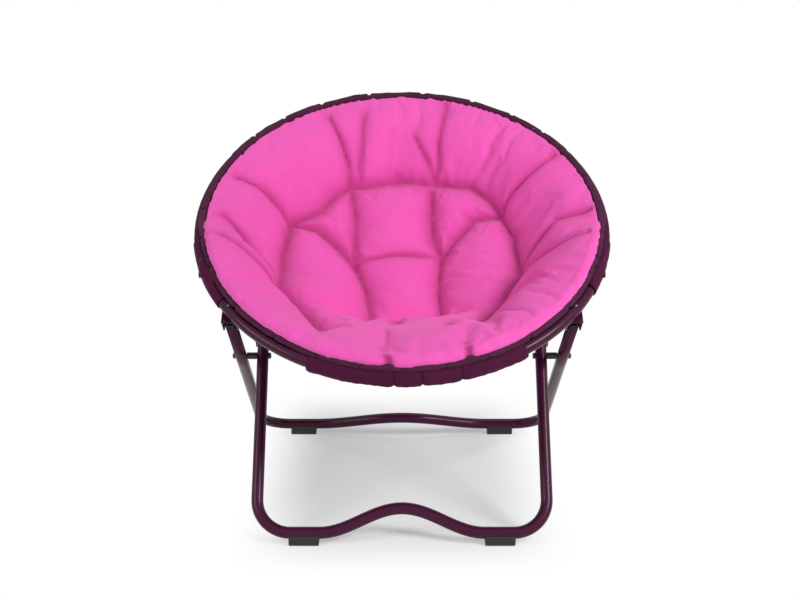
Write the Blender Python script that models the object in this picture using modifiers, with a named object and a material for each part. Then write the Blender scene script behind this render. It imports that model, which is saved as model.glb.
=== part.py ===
"""Folding saucer chair: a padded dish on a hinged tube ring, carried by two crossing U-shaped tube legs.

Metres, +Z up, floor at Z = 0, the sitter faces -Y. The ring lies in a tilted plane of its own: x runs to the
sitter's left hand side, u runs up the plane from its low front to its high back, and w stands square to it.
"""
import math

import bmesh
import bpy
from mathutils import Matrix, Vector

for old in list(bpy.data.objects):
    bpy.data.objects.remove(old, do_unlink=True)

# Driving dimensions: the tube frame
TUBE_R = 0.011
WALL = 0.0012
GAP = 0.0003
RING_R = 0.375
RING_TILT = math.radians(31.4)
RING_HEIGHT = 0.540
FRONT_HALF = 0.264
LEG_SPACING = 0.0415
REAR_HALF = FRONT_HALF + LEG_SPACING
FRONT_FOOT_Y = -0.234
REAR_FOOT_Y = 0.336
CORNER_R = 0.062
FRONT_FOOT_IN = 0.0245
REAR_FOOT_IN = 0.0285
FRONT_FOOT_X = FRONT_HALF - CORNER_R - FRONT_FOOT_IN
REAR_FOOT_X = REAR_HALF - CORNER_R - REAR_FOOT_IN
HUMP = 0.045
PAD_LENGTH = 0.055
PAD_WIDTH = 0.024
PAD_THICK = 0.010
TOP_OVERRUN = 0.010
TUBE_SIDES = 12
RING_STEP = math.radians(6.0)
END_GAP = 0.0009

# Driving dimensions: brackets, hinges and fasteners
FRONT_DROP = 0.033
REAR_DROP = 0.038
SHEET = 0.002
BRACKET_LENGTH = 0.042
CHEEK_TOP = 0.038
CHEEK_R = 0.0115
CHEEK_GAP = 0.0004
PIN_R = 0.003
CLEAR_R = PIN_R + GAP
PIN_HEAD = 0.0022
PIN_HEAD_R = 0.0052
BOLT_HEAD = 0.0045
BOLT_HEAD_R = 0.0060
SPACER_R = 0.0066
RIVET_R = 0.0023
HINGE_U = -0.110
HINGE_RISE = 0.0155
LUG_R = 0.0040
HINGE_NEAR = 0.009
HINGE_FAR = 0.034
HINGE_HALF = 0.0072
FORK_LANE = 0.0047
FORK_THICK = 0.0025
TONGUE_THICK = 0.0060
HINGE_PIN_R = 0.0022
HINGE_PIN_HALF = 0.0063
HINGE_HEAD = 0.0019
HINGE_HEAD_R = 0.0036
TAB_RISE = 0.032
TAB_LENGTH = 0.024
TAB_WIDTH = 0.014
TAB_THICK = 0.0025

# Driving dimensions: the soft cover
CLOTH = 0.0010
SLEEVE_R = 0.0130
SLEEVE_STEP = math.radians(7.0)
FRONT_SLACK = 0.0045
FRONT_PANEL = math.radians(29.5)
PANEL_TURN = math.radians(4.5)
PIPING_R = 0.0028
PIPING_STEP = math.radians(6.0)
EDGE_IN = 0.0080
EDGE_OUT = 0.0060
EDGE_FRONT = 0.0062
EDGE_RISE = 0.0185
BACK_DIP = 0.0030
FRONT_DIP = 0.0032
HINGE_LIFT = 0.0065
LIFT_SPREAD = math.radians(9.0)
EDGE_SHIFT = math.radians(13.0)
HEM_IN = 0.0200
HEM_OUT = 0.0148
HEM_HIGH = 0.0130
HEM_BACK_DIP = 0.0080
HEM_FRONT_DIP = 0.0035
HEM_LOW = -0.0020
DISH_U = -0.085
DISH_DEPTH = 0.180
PAD_FULL = 0.042
SEAT_FULL = 0.047
SEAT_X = 0.035
SEAT_SPREAD = 0.180
SEAT_RISE = 0.135
SEAT_FALL = 0.075
CHANNEL_DEEP = 0.022
CREASE_DEEP = 0.014
TUFT_DEEP = 0.006
SEGMENTS = 48
RINGS = 12
TOP_RINGS = 18

# Where the chair stands: its length is centred on Y = 0
FRONT_EDGE = -RING_R * math.cos(RING_TILT) - TUBE_R - CLOTH - 2 * GAP
REAR_EDGE = REAR_FOOT_Y + PAD_WIDTH / 2
MIDDLE_Y = (FRONT_EDGE + REAR_EDGE) / 2

PARTS = bpy.data.collections.new("folding_saucer_chair")
CUTTERS = bpy.data.collections.new("cutters")
bpy.context.scene.collection.children.link(PARTS)
bpy.context.scene.collection.children.link(CUTTERS)
BODY = {}
HANDS = ((1, "left"), (-1, "right"))


def finish(name, color, rough, metal=0.0):
    mat = bpy.data.materials.new(name)
    mat.use_nodes = True
    shader = mat.node_tree.nodes["Principled BSDF"]
    shader.inputs["Base Color"].default_value = (*color, 1.0)
    shader.inputs["Roughness"].default_value = rough
    shader.inputs["Metallic"].default_value = metal
    return mat


PAINT = finish("plum_paint", (0.045, 0.010, 0.028), 0.25)
STEEL = finish("zinc_steel", (0.55, 0.55, 0.56), 0.30, 1.0)
BLACK = finish("black_plastic", (0.012, 0.012, 0.013), 0.45)
PINK = finish("pink_cloth", (0.85, 0.09, 0.45), 0.85)
PLUM = finish("plum_cloth", (0.065, 0.012, 0.038), 0.80)


def in_ring(x, u, w):
    """A point of the ring's own frame, in the world."""
    c, s = math.cos(RING_TILT), math.sin(RING_TILT)
    return Vector((x, u * c - w * s - MIDDLE_Y, RING_HEIGHT + u * s + w * c))


RING_FRAME = Matrix.Translation(in_ring(0, 0, 0)) @ Matrix.Rotation(RING_TILT, 4, "X")


def add(name, mesh, material, body=None, frame=None, smooth=False):
    """Put a mesh in the scene: as a part of a moving body, or as a cutter when it has no body."""
    obj = bpy.data.objects.new(name, mesh)
    obj.matrix_world = frame if frame is not None else Matrix.Identity(4)
    if body:
        PARTS.objects.link(obj)
        BODY[name] = body
        mesh.materials.clear()
        mesh.materials.append(material)
    else:
        CUTTERS.objects.link(obj)
        obj.hide_render = True
        obj.display_type = "WIRE"
    if smooth:
        mesh.shade_smooth()
        mesh.set_sharp_from_angle(angle=math.radians(40))
    return obj


def cut(obj, tool, kind="DIFFERENCE"):
    mod = obj.modifiers.new(tool.name, "BOOLEAN")
    mod.operation = kind
    mod.solver = "EXACT"
    mod.object = tool


def tube(name, points, body, frame):
    """A bent length of round tube with open ends, its wall turned inwards."""
    curve = bpy.data.curves.new(name, "CURVE")
    curve.dimensions = "3D"
    curve.bevel_depth = TUBE_R
    curve.bevel_resolution = TUBE_SIDES // 2 - 2
    curve.use_fill_caps = False
    spline = curve.splines.new("POLY")
    spline.points.add(len(points) - 1)
    for point, place in zip(spline.points, points):
        point.co = (*place, 1.0)
    holder = bpy.data.objects.new(name + "_line", curve)
    bpy.context.scene.collection.objects.link(holder)
    depsgraph = bpy.context.evaluated_depsgraph_get()
    mesh = bpy.data.meshes.new_from_object(holder.evaluated_get(depsgraph))
    bpy.data.objects.remove(holder, do_unlink=True)
    obj = add(name, mesh, PAINT, body, frame, smooth=True)
    wall = obj.modifiers.new("wall", "SOLIDIFY")
    wall.thickness = WALL
    wall.offset = -1.0
    return obj


def turned(name, profile, material, body, frame, sides=10):
    """A piece turned round its frame's X axis from (x, radius) pairs."""
    work = bmesh.new()
    verts = [work.verts.new((x, r, 0.0)) for x, r in profile]
    edges = [work.edges.new(pair) for pair in zip(verts, verts[1:])]
    bmesh.ops.spin(
        work, geom=verts + edges, cent=(0, 0, 0), axis=(1, 0, 0), angle=math.tau, steps=sides
    )
    bmesh.ops.remove_doubles(work, verts=work.verts, dist=0.00001)
    bmesh.ops.recalc_face_normals(work, faces=work.faces)
    mesh = bpy.data.meshes.new(name)
    work.to_mesh(mesh)
    work.free()
    return add(name, mesh, material, body, frame, smooth=True)


def turned_pair(name, profile, material, body, frame, sides=10):
    """The same turned piece on the left and on the right, mirrored about X = 0."""
    for hand, word in HANDS:
        turned(f"{name}_{word}", [(hand * x, r) for x, r in profile], material, body, frame, sides)


def block(name, low, high, material=None, body=None, frame=None, bevel=0.0):
    """A rectangular block between two corners of its frame."""
    work = bmesh.new()
    bmesh.ops.create_cube(work, size=1.0)
    low, high = Vector(low), Vector(high)
    for vert in work.verts:
        vert.co = Vector(
            (low[k] + high[k]) / 2 + vert.co[k] * (high[k] - low[k]) for k in range(3)
        )
    mesh = bpy.data.meshes.new(name)
    work.to_mesh(mesh)
    work.free()
    obj = add(name, mesh, material, body, frame)
    if bevel:
        mod = obj.modifiers.new("edges", "BEVEL")
        mod.width = bevel
        mod.segments = 2
    return obj


def rod(name, start, end, radius, frame=None, sides=12, roll=0.0):
    """A round cutter between two points, rolled where its edges would lie on an edge of the tube."""
    start, end = Vector(start), Vector(end)
    work = bmesh.new()
    bmesh.ops.create_cone(
        work, cap_ends=True, segments=sides, radius1=radius, radius2=radius, depth=(end - start).length
    )
    turn = (end - start).to_track_quat("Z", "Y").to_matrix().to_4x4() @ Matrix.Rotation(roll, 4, "Z")
    bmesh.ops.transform(work, matrix=Matrix.Translation((start + end) / 2) @ turn, verts=work.verts)
    mesh = bpy.data.meshes.new(name)
    work.to_mesh(mesh)
    work.free()
    return add(name, mesh, None, None, frame)


def plate(name, outline, thick, material=None, body=None, frame=None, offset=0.0):
    """A flat plate square to X: outline in (u, w), half its thickness to each side of offset."""
    curve = bpy.data.curves.new(name, "CURVE")
    curve.dimensions = "2D"
    curve.fill_mode = "BOTH"
    curve.extrude = thick / 2
    spline = curve.splines.new("POLY")
    spline.points.add(len(outline) - 1)
    for point, (u, w) in zip(spline.points, outline):
        point.co = (u, w, 0.0, 1.0)
    spline.use_cyclic_u = True
    holder = bpy.data.objects.new(name + "_line", curve)
    bpy.context.scene.collection.objects.link(holder)
    depsgraph = bpy.context.evaluated_depsgraph_get()
    mesh = bpy.data.meshes.new_from_object(holder.evaluated_get(depsgraph))
    bpy.data.objects.remove(holder, do_unlink=True)
    work = bmesh.new()
    work.from_mesh(mesh)
    bmesh.ops.remove_doubles(work, verts=work.verts, dist=0.00001)
    swap = Matrix(((0, 0, 1, offset), (1, 0, 0, 0), (0, 1, 0, 0), (0, 0, 0, 1)))
    bmesh.ops.transform(work, matrix=swap, verts=work.verts)
    bmesh.ops.recalc_face_normals(work, faces=work.faces)
    work.to_mesh(mesh)
    work.free()
    return add(name, mesh, material, body, frame)


def rounded(centre, radius, start, stop, steps):
    """Points on an arc in (u, w), angles in degrees."""
    out = []
    for k in range(steps + 1):
        a = math.radians(start + (stop - start) * k / steps)
        out.append((centre[0] + radius * math.cos(a), centre[1] + radius * math.sin(a)))
    return out


# Joint places, in the ring's frame and in the world
FRONT_TOP_U = math.sqrt(RING_R**2 - FRONT_HALF**2)
REAR_TOP_U = -math.sqrt(RING_R**2 - REAR_HALF**2)
FRONT_TOP = in_ring(0, FRONT_TOP_U, -FRONT_DROP)
REAR_TOP = in_ring(0, REAR_TOP_U, -REAR_DROP)
HINGE = in_ring(0, HINGE_U, HINGE_RISE)
HINGE_X = math.sqrt(RING_R**2 - HINGE_U**2)
HINGE_ANGLE = math.acos(-HINGE_U / RING_R)
AXIS_HEIGHT = PAD_THICK + TUBE_R + GAP
FRONT_FOOT = Vector((0, FRONT_FOOT_Y - MIDDLE_Y, AXIS_HEIGHT))
REAR_FOOT = Vector((0, REAR_FOOT_Y - MIDDLE_Y, AXIS_HEIGHT))


def leg_frame(foot, top):
    """x across, y up the leg from its floor line, z square to both."""
    up = (top - foot).normalized()
    across = Vector((1, 0, 0))
    return Matrix.Translation(foot) @ Matrix((across, up, across.cross(up))).transposed().to_4x4()


FRONT_FRAME = leg_frame(FRONT_FOOT, FRONT_TOP)
REAR_FRAME = leg_frame(REAR_FOOT, REAR_TOP)
FRONT_LENGTH = (FRONT_TOP - FRONT_FOOT).length
REAR_LENGTH = (REAR_TOP - REAR_FOOT).length

# The legs cross where their two lines meet, seen from the side
front_dir = (FRONT_TOP - FRONT_FOOT).normalized()
rear_dir = (REAR_TOP - REAR_FOOT).normalized()
across = REAR_FOOT - FRONT_FOOT
share = (across.y * rear_dir.z - across.z * rear_dir.y) / (
    front_dir.y * rear_dir.z - front_dir.z * rear_dir.y
)
CROSSING = FRONT_FOOT + front_dir * share
rear_share = (CROSSING - REAR_FOOT).length


def leg_line(half, foot_x, length):
    """One U leg: two parallel uprights, round corners, and a raised middle between the floor pads."""
    inner = foot_x - PAD_LENGTH / 2
    corner_steps, hump_steps = 6, 6
    line = [(-half, length + TOP_OVERRUN, 0)]
    for k in range(corner_steps + 1):
        a = math.pi + math.pi / 2 * k / corner_steps
        line.append((-half + CORNER_R + CORNER_R * math.cos(a), CORNER_R + CORNER_R * math.sin(a), 0))
    for k in range(hump_steps + 1):
        x = -inner + inner * k / hump_steps
        line.append((x, HUMP / 2 * (1 + math.cos(math.pi * x / inner)), 0))
    return line + [(-x, y, z) for x, y, z in reversed(line[:-1])]


def ring_line(start, stop):
    count = max(2, round((stop - start) / RING_STEP))
    angles = [start + (stop - start) * k / count for k in range(count + 1)]
    return [(RING_R * math.sin(a), -RING_R * math.cos(a), 0.0) for a in angles]


# Tubes of the frame
end_turn = END_GAP / RING_R
rear_ring = tube(
    "rear_ring_tube",
    ring_line(HINGE_ANGLE + end_turn, math.tau - HINGE_ANGLE - end_turn),
    "rear_ring",
    RING_FRAME,
)
front_ring = tube(
    "front_ring_tube",
    ring_line(-HINGE_ANGLE + end_turn, HINGE_ANGLE - end_turn),
    "front_ring",
    RING_FRAME,
)
front_leg = tube(
    "front_leg_tube", leg_line(FRONT_HALF, FRONT_FOOT_X, FRONT_LENGTH), "front_leg", FRONT_FRAME
)
rear_leg = tube("rear_leg_tube", leg_line(REAR_HALF, REAR_FOOT_X, REAR_LENGTH), "rear_leg", REAR_FRAME)

# Holes for the pivots, through both uprights of each leg
for leg, half, places in (
    (front_leg, FRONT_HALF, (FRONT_TOP, CROSSING)),
    (rear_leg, REAR_HALF, (REAR_TOP, CROSSING)),
):
    for number, place in enumerate(places):
        for side in (-1, 1):
            hole = rod(
                f"{leg.name}_hole_{number}_{'left' if side > 0 else 'right'}",
                place + Vector((side * half - 0.02, 0, 0)),
                place + Vector((side * half + 0.02, 0, 0)),
                CLEAR_R,
            )
            cut(leg, hole)


def leg_bracket(label, half, top_u, drop, ring_tube, ring_body, side):
    """A pressed channel under the ring: its flat top lies against the tube, its cheeks hold the leg's end."""
    frame = RING_FRAME @ Matrix.Translation((side * half, top_u, 0))
    word = "left" if side > 0 else "right"
    under = -TUBE_R - GAP
    inside = TUBE_R + CHEEK_GAP
    side_reach = inside + SHEET + 2 * GAP
    obj = block(
        f"{label}_bracket_{word}",
        (-side_reach, -BRACKET_LENGTH / 2, under - SHEET),
        (side_reach, BRACKET_LENGTH / 2, under),
        PAINT,
        ring_body,
        frame,
    )
    outline = [(-CHEEK_TOP / 2, under - SHEET / 2)] + rounded((0, -drop), CHEEK_R, 190, 350, 8)
    outline.append((CHEEK_TOP / 2, under - SHEET / 2))
    for flank in (-1, 1):
        cheek = plate(
            f"{obj.name}_cheek_{flank}", outline, SHEET, frame=frame, offset=flank * (inside + SHEET / 2)
        )
        cut(obj, cheek, "UNION")
    cut(obj, rod(f"{obj.name}_pivot", (-0.02, 0, -drop), (0.02, 0, -drop), CLEAR_R, frame))
    rivet_hole = rod(f"{obj.name}_rivet", (0, 0, -0.03), (0, 0, 0.03), RIVET_R + GAP, frame)
    cut(obj, rivet_hole)
    cut(ring_tube, rivet_hole)
    return obj


for hand in (1, -1):
    leg_bracket("front_leg", FRONT_HALF, FRONT_TOP_U, FRONT_DROP, rear_ring, "rear_ring", hand)
    leg_bracket("rear_leg", REAR_HALF, REAR_TOP_U, REAR_DROP, front_ring, "front_ring", hand)

# Rivets that hold the brackets to the ring, headed over the tube and under the channel
under_web = -TUBE_R - GAP - SHEET - GAP
RIVET = [
    (TUBE_R + 0.0026, 0),
    (TUBE_R + 0.0024, 0.0022),
    (TUBE_R + 0.0012, 0.0040),
    (TUBE_R + GAP, 0.0043),
    (TUBE_R + GAP, RIVET_R),
    (under_web, RIVET_R),
    (under_web, 0.0036),
    (under_web - 0.0014, 0.0030),
    (under_web - 0.0014, 0),
]
STAND = Matrix.Rotation(-math.pi / 2, 4, "Y")


def bracket_rivets(name, half, top_u, body):
    for hand, word in HANDS:
        frame = RING_FRAME @ Matrix.Translation((hand * half, top_u, 0)) @ STAND
        turned(f"{name}_{word}", RIVET, STEEL, body, frame, 8)


bracket_rivets("rear_ring_rivet", FRONT_HALF, FRONT_TOP_U, "rear_ring")
bracket_rivets("front_ring_rivet", REAR_HALF, REAR_TOP_U, "front_ring")


def pivot_pins(name, half, place, body):
    """Headed pins through the bracket cheeks and the end of the leg."""
    out = TUBE_R + CHEEK_GAP + SHEET + GAP
    profile = [
        (half - out - PIN_HEAD, 0),
        (half - out - PIN_HEAD, PIN_HEAD_R - 0.001),
        (half - out, PIN_HEAD_R),
        (half - out, PIN_R),
        (half + out, PIN_R),
        (half + out, PIN_HEAD_R),
        (half + out + PIN_HEAD, PIN_HEAD_R - 0.001),
        (half + out + PIN_HEAD, 0),
    ]
    turned_pair(name, profile, STEEL, body, Matrix.Translation(place))


pivot_pins("front_leg_pivot_pin", FRONT_HALF, FRONT_TOP, "rear_ring")
pivot_pins("rear_leg_pivot_pin", REAR_HALF, REAR_TOP, "front_ring")


def leg_plugs(name, half, frame, length, body):
    """Push-in plugs that close the tops of a leg."""
    top = length + TOP_OVERRUN
    bore = TUBE_R - WALL - 2 * GAP
    profile = [
        (top + 0.0018, 0),
        (top + 0.0018, TUBE_R - 0.0022),
        (top + GAP, TUBE_R - 0.0006),
        (top + GAP, bore),
        (top - 0.0050, bore),
        (top - 0.0050, 0),
    ]
    for hand, word in HANDS:
        stand = Matrix.Translation((hand * half, 0, 0)) @ Matrix.Rotation(math.pi / 2, 4, "Z")
        turned(f"{name}_{word}", profile, BLACK, body, frame @ stand)


leg_plugs("front_leg_plug", FRONT_HALF, FRONT_FRAME, FRONT_LENGTH, "front_leg")
leg_plugs("rear_leg_plug", REAR_HALF, REAR_FRAME, REAR_LENGTH, "rear_leg")

# Crossing of the legs: bolt from the inside, black spacer between the tubes, cap nut outside
spacer_in = FRONT_HALF + TUBE_R + GAP
spacer_out = REAR_HALF - TUBE_R - GAP
head_in = FRONT_HALF - TUBE_R - GAP
BOLT = [
    (head_in - BOLT_HEAD, 0),
    (head_in - BOLT_HEAD, BOLT_HEAD_R - 0.002),
    (head_in - BOLT_HEAD + 0.0015, BOLT_HEAD_R),
    (head_in, BOLT_HEAD_R),
    (head_in, PIN_R),
    (spacer_out - GAP, PIN_R),
    (spacer_out - GAP, 0),
]
turned_pair("crossing_bolt", BOLT, BLACK, "front_leg", Matrix.Translation(CROSSING))
SPACER = [
    (spacer_in, PIN_R + GAP),
    (spacer_in, SPACER_R),
    (spacer_out, SPACER_R),
    (spacer_out, PIN_R + GAP),
    (spacer_in, PIN_R + GAP),
]
turned_pair("crossing_spacer", SPACER, BLACK, "front_leg", Matrix.Translation(CROSSING), 12)
nut_in = REAR_HALF + TUBE_R + GAP
NUT = [
    (nut_in + BOLT_HEAD, 0),
    (nut_in + BOLT_HEAD, BOLT_HEAD_R - 0.003),
    (nut_in + BOLT_HEAD - 0.0015, BOLT_HEAD_R - 0.0005),
    (nut_in, BOLT_HEAD_R),
    (nut_in, PIN_R),
    (REAR_HALF - TUBE_R + GAP, PIN_R),
    (REAR_HALF - TUBE_R + GAP, 0),
]
turned_pair("crossing_nut", NUT, BLACK, "rear_leg", Matrix.Translation(CROSSING))

# Small riveted tabs on the outer side of the front-foot leg, a hand's width under the ring
TAB_UP = share + TAB_RISE
tab_in = FRONT_HALF + TUBE_R + GAP
for hand, word in HANDS:
    inner, outer = sorted((hand * tab_in, hand * (tab_in + TAB_THICK)))
    tab = block(
        f"stop_tab_{word}",
        (inner, TAB_UP - TAB_LENGTH / 2, -TAB_WIDTH / 2),
        (outer, TAB_UP + TAB_LENGTH / 2, TAB_WIDTH / 2),
        PAINT,
        "front_leg",
        FRONT_FRAME,
    )
    hole = rod(
        f"stop_tab_hole_{word}",
        (hand * FRONT_HALF, TAB_UP, 0),
        (hand * (tab_in + 2 * TUBE_R), TAB_UP, 0),
        RIVET_R + GAP,
        FRONT_FRAME,
        roll=math.radians(7),
    )
    cut(tab, hole)
    cut(front_leg, hole)
tab_out = tab_in + TAB_THICK + GAP
tab_deep = FRONT_HALF + TUBE_R - WALL - 0.001
TAB_RIVET = [
    (tab_out + 0.0030, 0),
    (tab_out + 0.0026, 0.0026),
    (tab_out + 0.0012, 0.0043),
    (tab_out, 0.0046),
    (tab_out, RIVET_R),
    (tab_deep, RIVET_R),
    (tab_deep, 0),
]
TAB_FRAME = FRONT_FRAME @ Matrix.Translation((0, TAB_UP, 0))
turned_pair("stop_tab_rivet", TAB_RIVET, STEEL, "front_leg", TAB_FRAME, 8)

# Floor pads, grooved to sit under the tube
for label, foot, foot_x, body in (
    ("front", FRONT_FOOT, FRONT_FOOT_X, "front_leg"),
    ("rear", REAR_FOOT, REAR_FOOT_X, "rear_leg"),
):
    for hand, word in HANDS:
        frame = Matrix.Translation((hand * foot_x, foot.y, 0))
        pad = block(
            f"{label}_pad_{word}",
            (-PAD_LENGTH / 2, -PAD_WIDTH / 2, 0),
            (PAD_LENGTH / 2, PAD_WIDTH / 2, AXIS_HEIGHT - 0.002),
            BLACK,
            body,
            frame,
            bevel=0.0022,
        )
        groove = rod(
            f"{pad.name}_groove",
            (-PAD_LENGTH, 0, AXIS_HEIGHT),
            (PAD_LENGTH, 0, AXIS_HEIGHT),
            TUBE_R + 0.0006,
            frame,
            sides=16,
        )
        cut(pad, groove)

# Ring hinges, standing on the tube so that the halves fold upwards and butt together when open
work = bmesh.new()
fat = TUBE_R + 0.0007
section = []
for k in range(TUBE_SIDES):
    a = math.tau * k / TUBE_SIDES
    section.append(work.verts.new((RING_R + fat * math.cos(a), 0, fat * math.sin(a))))
loop = [work.edges.new((section[k - 1], section[k])) for k in range(TUBE_SIDES)]
bmesh.ops.spin(work, geom=section + loop, cent=(0, 0, 0), axis=(0, 0, 1), angle=math.tau, steps=72)
bmesh.ops.remove_doubles(work, verts=work.verts, dist=0.00001)
bmesh.ops.recalc_face_normals(work, faces=work.faces)
saddle_mesh = bpy.data.meshes.new("ring_saddle")
work.to_mesh(saddle_mesh)
work.free()
saddle = add("ring_saddle", saddle_mesh, None, None, RING_FRAME)
for hand, word in HANDS:
    frame = RING_FRAME @ Matrix.Translation((hand * HINGE_X, HINGE_U, HINGE_RISE))
    for label, body, back, lanes in (
        ("fork", "rear_ring", 1, (-FORK_LANE, FORK_LANE)),
        ("tongue", "front_ring", -1, (0.0,)),
    ):
        near, far = sorted((back * HINGE_NEAR, back * HINGE_FAR))
        base = block(
            f"ring_hinge_{label}_{word}",
            (-HINGE_HALF, near, -HINGE_RISE + 0.005),
            (HINGE_HALF, far, -HINGE_RISE + TUBE_R + 0.0028),
            PAINT,
            body,
            frame,
        )
        floor_w = -HINGE_RISE + TUBE_R + 0.0018
        lug = rounded((0, 0), LUG_R, 90, 270, 8)
        lug = lug + [(0.010, -LUG_R), (0.011, floor_w), (0.030, floor_w), (0.022, 0.0010), (0.010, LUG_R)]
        lug = [(back * u, w) for u, w in lug]
        thick = FORK_THICK if len(lanes) > 1 else TONGUE_THICK
        for number, lane in enumerate(lanes):
            cut(base, plate(f"{base.name}_lug_{number}", lug, thick, frame=frame, offset=lane), "UNION")
        cut(base, saddle)
        cut(base, rod(f"{base.name}_pin", (-0.02, 0, 0), (0.02, 0, 0), HINGE_PIN_R + GAP, frame))
PIN = [
    (HINGE_X - HINGE_PIN_HALF - HINGE_HEAD, 0),
    (HINGE_X - HINGE_PIN_HALF - HINGE_HEAD, HINGE_HEAD_R - 0.0004),
    (HINGE_X - HINGE_PIN_HALF, HINGE_HEAD_R),
    (HINGE_X - HINGE_PIN_HALF, HINGE_PIN_R),
    (HINGE_X + HINGE_PIN_HALF, HINGE_PIN_R),
    (HINGE_X + HINGE_PIN_HALF, HINGE_HEAD_R),
    (HINGE_X + HINGE_PIN_HALF + HINGE_HEAD, HINGE_HEAD_R - 0.0004),
    (HINGE_X + HINGE_PIN_HALF + HINGE_HEAD, 0),
]
turned_pair("ring_hinge_pin", PIN, STEEL, "rear_ring", Matrix.Translation(HINGE))


# Soft cover: where its edge runs round the ring, from over the tube at the back to inside it at the front
def edge_share(angle):
    """0 along the front and past the hinges, 1 round the back."""
    turn = abs((angle + math.pi) % math.tau - math.pi)
    ramp = (turn - HINGE_ANGLE - math.radians(6)) / EDGE_SHIFT
    ramp = min(max(ramp, 0.0), 1.0)
    return ramp * ramp * (3 - 2 * ramp)


def front_share(angle):
    """1 along the front pocket, 0 from the bare sides on."""
    turn = abs((angle - PANEL_TURN + math.pi) % math.tau - math.pi)
    ramp = (FRONT_PANEL + math.radians(11) - turn) / EDGE_SHIFT
    ramp = min(max(ramp, 0.0), 1.0)
    return ramp * ramp * (3 - 2 * ramp)


def edge_place(angle):
    """Radius and height of the piping's centre, which rises over the ring hinges."""
    back = edge_share(angle)
    front = front_share(angle)
    reach = RING_R - EDGE_IN + (EDGE_IN + EDGE_OUT) * back + (EDGE_IN - EDGE_FRONT) * front
    turn = abs((angle + math.pi) % math.tau - math.pi)
    lift = HINGE_LIFT * math.exp(-(((turn - HINGE_ANGLE) / LIFT_SPREAD) ** 2))
    return reach, EDGE_RISE + lift - BACK_DIP * back - FRONT_DIP * front


def sleeve(name, start, stop, body, slack=0.0):
    """A cloth sleeve round a length of the ring; slack lets it hang a little below the tube."""
    sides = 10
    count = max(2, round((stop - start) / SLEEVE_STEP))
    work = bmesh.new()
    rows = []
    for k in range(sides):
        a = math.tau * k / sides
        lean = max(0.0, math.cos(a + math.radians(70)))
        reach = SLEEVE_R + slack * lean * lean
        rows.append(work.verts.new((0, -RING_R - reach * math.cos(a), reach * math.sin(a))))
    hoop = [work.edges.new((rows[k], rows[(k + 1) % sides])) for k in range(sides)]
    bmesh.ops.rotate(work, verts=work.verts, cent=(0, 0, 0), matrix=Matrix.Rotation(start, 3, "Z"))
    bmesh.ops.spin(
        work, geom=rows + hoop, cent=(0, 0, 0), axis=(0, 0, 1), angle=stop - start, steps=count
    )
    bmesh.ops.recalc_face_normals(work, faces=work.faces)
    mesh = bpy.data.meshes.new(name)
    work.to_mesh(mesh)
    work.free()
    obj = add(name, mesh, PLUM, body, RING_FRAME, smooth=True)
    cloth = obj.modifiers.new("cloth", "SOLIDIFY")
    cloth.thickness = CLOTH
    cloth.offset = -1.0


BRACKET_ANGLE = math.acos(-FRONT_TOP_U / RING_R)
NOTCH = math.radians(6.5)
SIDE_START = HINGE_ANGLE + math.radians(7)
sleeve("front_sleeve", PANEL_TURN - FRONT_PANEL, PANEL_TURN + FRONT_PANEL, "front_ring", FRONT_SLACK)
sleeve("back_sleeve", BRACKET_ANGLE + NOTCH, math.tau - BRACKET_ANGLE - NOTCH, "rear_ring")
sleeve("side_sleeve_left", SIDE_START, BRACKET_ANGLE - NOTCH, "rear_ring")
sleeve("side_sleeve_right", math.tau - BRACKET_ANGLE + NOTCH, math.tau - SIDE_START, "rear_ring")


def piping(name, start, stop, body):
    """The bound edge of the cover, a plum cord sewn along the cushion's rim."""
    count = round((stop - start) / PIPING_STEP)
    curve = bpy.data.curves.new(name, "CURVE")
    curve.dimensions = "3D"
    curve.bevel_depth = PIPING_R
    curve.bevel_resolution = 1
    curve.use_fill_caps = True
    spline = curve.splines.new("POLY")
    spline.points.add(count)
    for k, point in enumerate(spline.points):
        angle = start + (stop - start) * k / count
        reach, rise = edge_place(angle)
        point.co = (reach * math.sin(angle), -reach * math.cos(angle), rise, 1.0)
    holder = bpy.data.objects.new(name + "_line", curve)
    bpy.context.scene.collection.objects.link(holder)
    depsgraph = bpy.context.evaluated_depsgraph_get()
    mesh = bpy.data.meshes.new_from_object(holder.evaluated_get(depsgraph))
    bpy.data.objects.remove(holder, do_unlink=True)
    work = bmesh.new()
    work.from_mesh(mesh)
    bmesh.ops.remove_doubles(work, verts=work.verts, dist=0.00001)
    bmesh.ops.recalc_face_normals(work, faces=work.faces)
    work.to_mesh(mesh)
    work.free()
    add(name, mesh, PLUM, body, RING_FRAME, smooth=True)


CUT_ANGLE = math.acos(-HINGE_U / (RING_R - EDGE_IN))
piping("back_piping", CUT_ANGLE + 0.004, math.tau - CUT_ANGLE - 0.004, "rear_ring")
piping("front_piping", -CUT_ANGLE + 0.004, CUT_ANGLE - 0.004, "front_ring")

# Padding: the seat and the back are one quilted dish, sewn through along the fold line and its channels
RIM_STEPS = ((0.0, 0.0), (0.008, 0.0), (0.020, -0.0085), (0.027, -0.0205))
RIM_GAP = 0.0011
SEAM_SOFT = 0.022
TUFTS = {
    "right_low": (-0.219, -0.092),
    "right": (-0.210, 0.084),
    "right_high": (-0.146, 0.139),
    "right_top": (-0.100, 0.190),
    "top": (-0.010, 0.207),
    "left_top": (0.068, 0.198),
    "left_high": (0.150, 0.165),
    "left": (0.188, 0.111),
    "left_low": (0.218, -0.036),
    "right_middle": (-0.090, 0.026),
    "left_middle": (0.075, 0.043),
    "right_seat": (-0.013, -0.200),
    "left_seat": (0.084, -0.240),
}
CHANNELS = (
    ("right_low", "right", "right_high", "right_top", "top", "left_top", "left_high", "left", "left_low"),
    ("right_top", "right_middle", (-0.051, -0.118)),
    ("left_top", "left_middle", (0.072, -0.118)),
    ("right", "right_middle"),
    ("left", "left_middle"),
    ("right_low", (-0.144, -0.205)),
    ("left_low", (0.141, -0.180)),
)
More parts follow.
